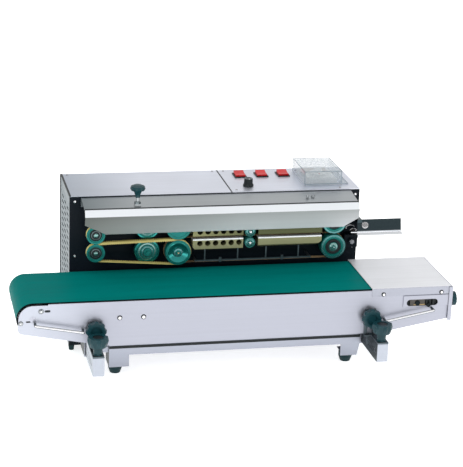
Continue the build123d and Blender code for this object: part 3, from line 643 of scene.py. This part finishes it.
# ---------------------------------------------------------------- yellow guide belts
def belt_path(c1, r1, c2, r2):
    """Points and outward normals round two circles, about a millimetre apart."""
    dx, dz = c2[0] - c1[0], c2[1] - c1[1]
    d = math.hypot(dx, dz)
    base = math.atan2(dz, dx)
    lean = math.acos((r1 - r2) / d)
    a0, a1 = base + lean, base - lean
    out = []

    def arc(c, r, start, end):
        n = max(8, int(abs(end - start) * r / 1.0))
        for i in range(n):
            a = start + (end - start) * i / n
            out.append((c[0] + r * math.cos(a), c[1] + r * math.sin(a), math.cos(a), math.sin(a)))

    def run(p, q, a):
        n = max(2, int(math.hypot(q[0] - p[0], q[1] - p[1]) / 1.0))
        for i in range(n):
            t = i / n
            out.append((p[0] + (q[0] - p[0]) * t, p[1] + (q[1] - p[1]) * t,
                        math.cos(a), math.sin(a)))

    def at(c, r, a):
        return (c[0] + r * math.cos(a), c[1] + r * math.sin(a))

    arc(c1, r1, a0, a1 + 2 * math.pi)
    run(at(c1, r1, a1), at(c2, r2, a1), a1)
    arc(c2, r2, a1, a0)
    run(at(c2, r2, a0), at(c1, r1, a0), a0)
    return out


def toothed_belt(name, node, c1, r1, c2, r2, y0, y1):
    """Moulded belt: smooth back, ribs across the inside every 4 mm."""
    pts = belt_path(c1, r1, c2, r2)
    length = 0.0
    bm = bmesh.new()
    rings = []
    prev = None
    for x, z, nx, nz in pts:
        if prev:
            length += math.hypot(x - prev[0], z - prev[1])
        prev = (x, z)
        tooth = (length % 4.0) < 2.0
        inner = 2.7 if tooth else 1.5
        ring = [bm.verts.new(P(x, y0 + 0.2, z)),
                bm.verts.new(P(x, y1 - 0.2, z)),
                bm.verts.new(P(x - nx * 0.3, y1, z - nz * 0.3)),
                bm.verts.new(P(x - nx * inner, y1, z - nz * inner)),
                bm.verts.new(P(x - nx * inner, y0, z - nz * inner)),
                bm.verts.new(P(x - nx * 0.3, y0, z - nz * 0.3))]
        rings.append(ring)
    for a, b in zip(rings, rings[1:] + rings[:1]):
        for i in range(6):
            j = (i + 1) % 6
            bm.faces.new((a[i], a[j], b[j], b[i]))
    o = finish_mesh(bm, name, "belt_yellow", "machine")
    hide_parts(node)
    return o


for lev, sign in LEVELS:
    toothed_belt("yellow_belt_" + lev, "guide_belt_" + lev, (GUIDE_X, GUIDE_Z[lev]), 18.1,
                 (DRIVE_X, SEAL_Z + sign * AXIS_DZ), 25.9, 146, 154.2)


# ---------------------------------------------------------------- wheels' fronts
def ring_plate(name, x, z, prof, mat, body, seg=48):
    bm = bmesh.new()
    lathe(bm, P(x, 0, z), (0, 1, 0), prof, seg)
    return finish_mesh(bm, name, mat, body)


def hex_nut(name, x, z, y, r, body, mat="nut_brass"):
    bm = bmesh.new()
    lathe(bm, P(x, y, z), (0, -1, 0), [(r * 1.3, 0), (r * 1.3, 0.6), (r, 0.7)], 32)
    lathe(bm, P(x, y, z), (0, -1, 0), [(r, 0.6), (r, 2.2), (r * 0.86, 2.6), (r * 0.5, 2.6),
                                      (r * 0.5, 3.3), (0, 3.4)], 6)
    return finish_mesh(bm, name, mat, body)


def wheel_front(name, x, z, rings, body):
    for part, mat, prof in rings:
        ring_plate(name + "_" + part, x, z, prof, mat, body)


for lev, sign in LEVELS:
    axis_z = SEAL_Z + sign * AXIS_DZ
    emboss_z = SEAL_Z + sign * EMBOSS_DZ
    pinch_z = SEAL_Z + sign * PINCH_DZ
    wheel_front("drive", DRIVE_X, axis_z, [
        ("dish_" + lev, "teal_metal",
         [(9.2, 147.0), (9.4, 146.6), (19.0, 143.5), (19.8, 143.2), (20.3, 143.6)]),
        ("ring_" + lev, "grey_teal",
         [(5.2, 143.6), (5.6, 143.1), (8.4, 143.3), (8.8, 143.9), (8.8, 147.0)]),
    ], "drive_wheel_" + lev)
    hex_nut("drive_nut_" + lev, DRIVE_X, axis_z, 143.4, 2.3, "drive_wheel_" + lev)
    wheel_front("idler", IDLER_X, axis_z, [
        ("rim_" + lev, "grey_teal", [(20.6, 147.1), (20.9, 146.5), (24.0, 146.5), (24.3, 147.1)]),
        ("ring_" + lev, "wheel_black",
         [(9.0, 148.6), (9.2, 146.4), (11.4, 145.8), (11.8, 146.8), (15.0, 146.8),
          (15.4, 147.4), (15.4, 148.6)]),
        ("hub_" + lev, "hub_grey",
         [(3.0, 144.4), (5.0, 144.4), (5.6, 144.9), (8.2, 145.2), (8.5, 146.2)]),
    ], "idler_wheel_" + lev)
    hex_nut("idler_nut_" + lev, IDLER_X, axis_z, 144.4, 2.2, "idler_wheel_" + lev, "chrome")
    wheel_front("emboss", EMBOSS_X, emboss_z, [
        ("step_a_" + lev, "hub_grey",
         [(13.9, 154.9), (14.4, 154.6), (17.0, 154.8), (17.4, 155.2), (17.4, 156.2)]),
        ("step_b_" + lev, "grey_teal",
         [(8.4, 152.3), (8.8, 151.9), (11.2, 152.0), (11.6, 152.3), (11.6, 153.2)]),
        ("rim_" + lev, "teal_metal", [(20.6, 156.9), (21.0, 156.4), (23.4, 156.4), (24.0, 156.9)]),
    ], "emboss_wheel_" + lev)
    hex_nut("emboss_nut_" + lev, EMBOSS_X, emboss_z, 148.9, 2.6, "emboss_wheel_" + lev)
    wheel_front("guide", GUIDE_X, GUIDE_Z[lev], [
        ("groove_" + lev, "wheel_black",
         [(9.4, 144.4), (9.8, 144.0), (11.8, 144.2), (12.2, 144.9)]),
        ("lip_" + lev, "stem_steel", [(7.6, 143.3), (7.9, 142.9), (8.8, 143.0), (9.1, 143.5)]),
        ("face_" + lev, "wheel_black", [(4.6, 143.2), (4.8, 142.8), (7.2, 142.9), (7.5, 143.3)]),
        ("hub_" + lev, "hub_grey", [(0, 141.6), (3.4, 141.6), (4.1, 142.0), (4.3, 143.2)]),
    ], "guide_wheel_" + lev)
    wheel_front("pinch", PINCH_X, pinch_z, [
        ("face_" + lev, "grey_teal", [(5.0, 146.9), (5.3, 146.5), (8.0, 146.6), (8.6, 147.0)]),
    ], "pinch_roller_" + lev)
    hex_nut("pinch_nut_" + lev, PINCH_X, pinch_z, 145.6, 1.9, "pinch_roller_" + lev, "chrome")


# ---------------------------------------------------------------- screws
SIDE_SCREWS = [(193, 0, 142, 3.0), (238, 0, 142, 3.0), (704, -1.5, 166.5, 2.5),
               (821, -1.5, 166.5, 2.5)]
screws("conveyor_screw_heads", [(P(x, y - 0.2, z), FRONT, r - 0.2) for x, y, z, r in SIDE_SCREWS],
       "conveyor", "head_steel")
# painted shade: a dark disc round each side screw head
screws("conveyor_screw_rings", [(P(x, y, z), FRONT, r + 1.9) for x, y, z, r in SIDE_SCREWS],
       "conveyor", "wheel_black", shadow_ring)

# the nose's two adjusting screws: x, z, head, washer's painted shadow, painted shade in the gap
# round the head
NOSE_SCREWS = [(47, 161, 3.2, 5.2, 4.1), (9.5, 138.8, 2.9, 4.8, 3.8)]
screws("nose_screws", [(P(x, -0.2, z), FRONT, r) for x, z, r, rs, rg in NOSE_SCREWS],
       "conveyor", "nose_steel", hex_screw)
screws("nose_screw_gaps", [(P(x, -1.15, z), FRONT, rg) for x, z, r, rs, rg in NOSE_SCREWS],
       "conveyor", "wheel_black", shadow_ring)
screws("nose_screw_rings", [(P(x, 0, z), FRONT, rs) for x, z, r, rs, rg in NOSE_SCREWS],
       "conveyor", "bar_steel", shadow_ring)

PLATE_SCREWS = [(131.5, 311, 3.0), (131.5, 200, 2.8), (694, 310, 3.0), (694, 200, 2.8)]
screws("front_plate_screws", [(P(x, HEAD_FRONT, z), FRONT, r) for x, z, r in PLATE_SCREWS],
       "machine", "chrome")
PANEL_SCREWS = [(453, 333), (453, 202), (694, 333), (664, 197.5), (133, 333), (430, 333)]
screws("panel_screws", [(P(x, y, PANEL_TOP), UP, 2.2) for x, y in PANEL_SCREWS],
       "machine")

# painted shade: dark plates inside the nose plate's two adjusting slots: x from, x to, z, end
# radius
NOSE_SLOTS = (("nose_slot_upper", 53.6, 64.0, 161, 2.1),
              ("nose_slot_lower", 19.2, 27.3, 141.5, 1.4))
for name, x0, x1, z, r in NOSE_SLOTS:
    pts = []
    for cx, start in ((x0 + r, 90), (x1 - r, -90)):
        for i in range(9):
            a = math.radians(start + 22.5 * i)
            pts.append((cx + r * math.cos(a), z + r * math.sin(a)))
    bm = bmesh.new()
    prism(bm, pts, 0.3, 0.9)
    finish_mesh(bm, name, "wheel_black", "conveyor")

# domed caps on the two clamp knobs
for side, x in (("left", 147.5), ("right", 693.5)):
    bm = bmesh.new()
    lathe(bm, P(x, -37.5, 118.2), UP, [(0, 0), (9.9, 0), (9.9, 1.4), (9.3, 1.9), (0, 1.6)], 32)
    finish_mesh(bm, "clamp_cap_" + side, "wheel_black", "clamp_knob_" + side)

# ---------------------------------------------------------------- edge trims, gaps and painted shade strips
# name, body, slot, material, boxes
TRIMS = [
    # painted shade: a dark strip along the ledge's front edge
    ("ledge_edge", "machine", "black_paint", "wheel_black",
     [(143.4, 686, 133.9, 137.2, 310.6, 312.2)]),
    ("tray_edge", "machine", "black_paint", "wheel_black",
     [(181.2, 678.8, 49.2, 49.9, 59.0, 64.5)]),
    ("head_trim", "machine", "black_paint", "wheel_black",
     [(120.1, 124.2, 190, 343.6, 321.1, 322.0), (119.6, 121.1, 339.8, 343.8, 14, 321.2)]),
    ("panel_gap", "machine", "black_paint", "wheel_black",
     [(439.6, 442.4, 190.5, 341.5, 320.6, 321.7)]),
    ("takeup_bars", "conveyor", "gear_steel", "wheel_black",
     [(791, 794, -1.8, -0.4, 140.4, 152.4), (798, 800.5, -1.8, -0.4, 140.4, 152.4),
      (804.5, 808, -1.8, -0.4, 140.4, 152.4)]),
    # painted shade: dark sheets behind the take-up's slot
    ("takeup_curtain", "conveyor", "black_paint", "wheel_black",
     [(790, 818, 3.35, 3.7, 138, 155), (748, 759, 3.35, 3.7, 138, 155)]),
    ("takeup_label", "conveyor", "brass", "brass", [(766, 789, -1.5, -0.9, 141.0, 143.2)]),
]
for name, body, slot, mat, rows in TRIMS:
    bm = bmesh.new()
    for row in rows:
        block(bm, *row)
    finish_mesh(bm, name, mat, body, 0.15)

# bright edges of the clear cover: its top rim, its corners and its front flange
COVER_EDGES = [
    (596, 673, 218.9, 220.3, 348.8, 350.1), (596, 673, 317.0, 318, 349.0, 350.1),
    (595.9, 597.2, 219, 318, 349.0, 350.1), (671.8, 673.1, 219, 318, 349.0, 350.1),
    (595.9, 597.2, 218.9, 220.2, 323, 350), (671.8, 673.1, 218.9, 220.2, 323, 350),
    (595.9, 597.0, 316.9, 318, 323, 350), (596, 673, 218.8, 219.9, 323.2, 324.4),
    (673, 687, 218.8, 219.9, 323.2, 324.1), (686.0, 687.1, 219, 318, 323.2, 324.1)]
bm = bmesh.new()
for row in COVER_EDGES:
    block(bm, *row)
finish_mesh(bm, "cover_edges", "clear_edge", "clear_cover")

# the bag guide's screw and washer, square to its tilted upper plate
TILT = (0, -0.971, 0.238)
GUIDE_SCREW = P(706, 149.1, 257)
bm = bmesh.new()
lathe(bm, GUIDE_SCREW, TILT, [(6.6, 0), (6.6, 0.5), (6.2, 0.7), (3.0, 0.7)], 36)
lathe(bm, GUIDE_SCREW, TILT,
      [(3.2, 0.6), (3.2, 1.6), (2.6, 2.2), (1.3, 2.3), (1.1, 1.2), (0, 1.2)], 24)
finish_mesh(bm, "guide_screw", "screw_steel", "machine")


def tube(bm, pts, r, seg=12):
    """A round bar swept through points."""
    rings = []
    for i, p in enumerate(pts):
        a = pts[max(i - 1, 0)]
        c = pts[min(i + 1, len(pts) - 1)]
        t = (c - a).normalized()
        side = t.cross(Vector((0, 1, 0.01))).normalized()
        up = t.cross(side)
        ring = []
        for k in range(seg):
            turn = 2 * math.pi * k / seg
            out = side * math.cos(turn) + up * math.sin(turn)
            ring.append(bm.verts.new(p + out * (r / 1000)))
        rings.append(ring)
    for a, c in zip(rings, rings[1:]):
        for k in range(seg):
            m = (k + 1) % seg
            bm.faces.new((a[k], a[m], c[m], c[k]))
    bm.faces.new(rings[0])
    bm.faces.new(list(reversed(rings[-1])))


# two spring hooks and a nut behind the idlers, and the nut on the pressure stem
bm = bmesh.new()
for cx, cz, r, a0, a1 in ((682, 246, 9, 20, 200), (688, 240, 6, -30, 170)):
    turns = [math.radians(a0 + (a1 - a0) * i / 14) for i in range(15)]
    tube(bm, [P(cx + r * math.cos(a), 170.5, cz + 0.6 * r * math.sin(a)) for a in turns], 1.1)
finish_mesh(bm, "tension_links", "screw_steel", "machine")
bm = bmesh.new()
lathe(bm, P(686, 166.2, 217), FRONT, [(5, 0), (5, 0.8), (3.4, 1.2), (3.4, 3.0), (0, 3.2)], 6)
finish_mesh(bm, "tension_nut", "gear_steel", "machine")
bm = bmesh.new()
lathe(bm, P(246.5, 146, 317.0), UP, [(6.2, 0), (6.2, 4.2), (5.6, 4.8), (3.1, 4.8)], 6)
finish_mesh(bm, "stem_nut", "stem_steel", "machine")


# ---------------------------------------------------------------- speed knob cap and dial scale
bm = bmesh.new()
lathe(bm, P(482, 226, 337.2), UP, [(5.2, 0), (5.2, 0.9), (7.8, 0.9), (8.3, 0.4), (8.4, -1.6)], 40)
finish_mesh(bm, "speed_cap", "stem_steel", "speed_knob")
bm = bmesh.new()
block(bm, 481.5, 482.5, 217.5, 221.5, 337.3, 338.4)
finish_mesh(bm, "speed_pointer", "white_mark", "speed_knob")

DIAL = (634, 262)               # centre of the temperature controller's dial
bm = bmesh.new()
block(bm, 609, 659, 272, 302, 332.9, 333.5)
finish_mesh(bm, "controller_label", "label_tan", "machine", 0.3)
bm = bmesh.new()
for i in range(11):
    a = math.radians(-60 + 30 * i)
    x, y = DIAL[0] + 21.5 * math.cos(a), DIAL[1] + 21.5 * math.sin(a)
    if y < 268:                 # the label covers the scale beyond this line
        block(bm, x - 0.5, x + 0.5, y - 0.5, y + 0.5, 332.9, 333.3)
finish_mesh(bm, "controller_scale", "black_plastic", "machine")
bm = bmesh.new()
block(bm, DIAL[0] - 0.7, DIAL[0] + 0.7, 247, 256, 335.6, 336.4)
finish_mesh(bm, "dial_pointer", "red_plastic", "controller_dial")
